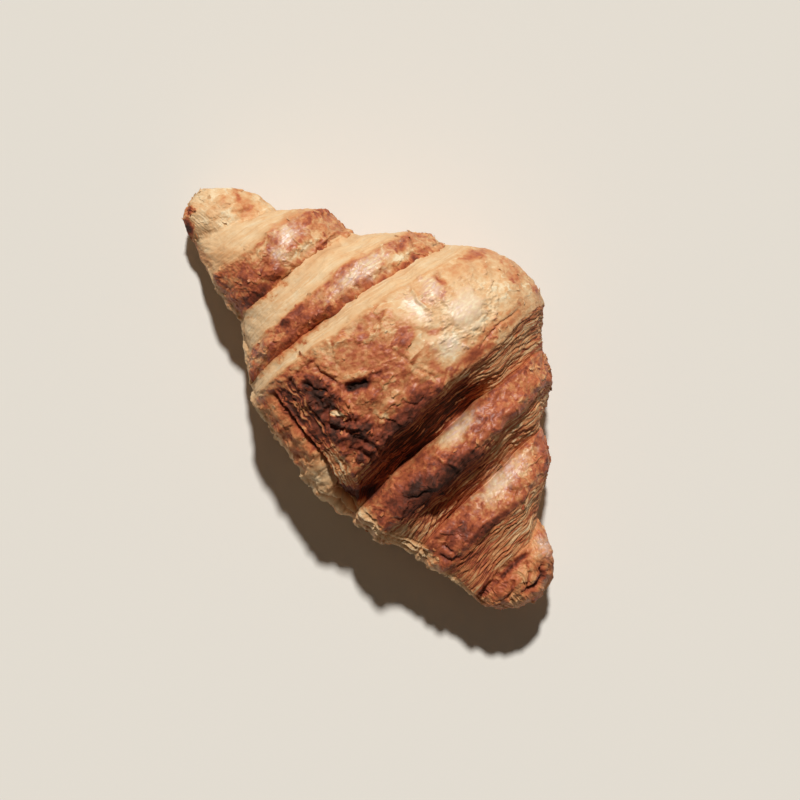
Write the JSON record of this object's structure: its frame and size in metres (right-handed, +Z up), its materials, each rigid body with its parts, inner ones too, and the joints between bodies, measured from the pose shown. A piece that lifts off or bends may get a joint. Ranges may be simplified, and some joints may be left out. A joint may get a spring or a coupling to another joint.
{
  "type": "croissant",
  "caption": "Baked croissant with stepped dough wraps, browned glazed plateaus and pale laminated edges, lying flat on its belly.",
  "frame": {"origin": "centre of the footprint's bounding box, on the surface the croissant lies on", "axes": "+X from one tip to the other, +Y towards the bulging outer side, +Z up"},
  "size_m": [0.1606, 0.09, 0.0586],
  "materials": {
    "crust": "golden brown baked pastry crust, egg-washed and half glossy on the browned plateaus, matt and pale on the laminated edges"
  },
  "bodies": {
    "root": {"croissant": "crust"}
  },
  "joints": []
}
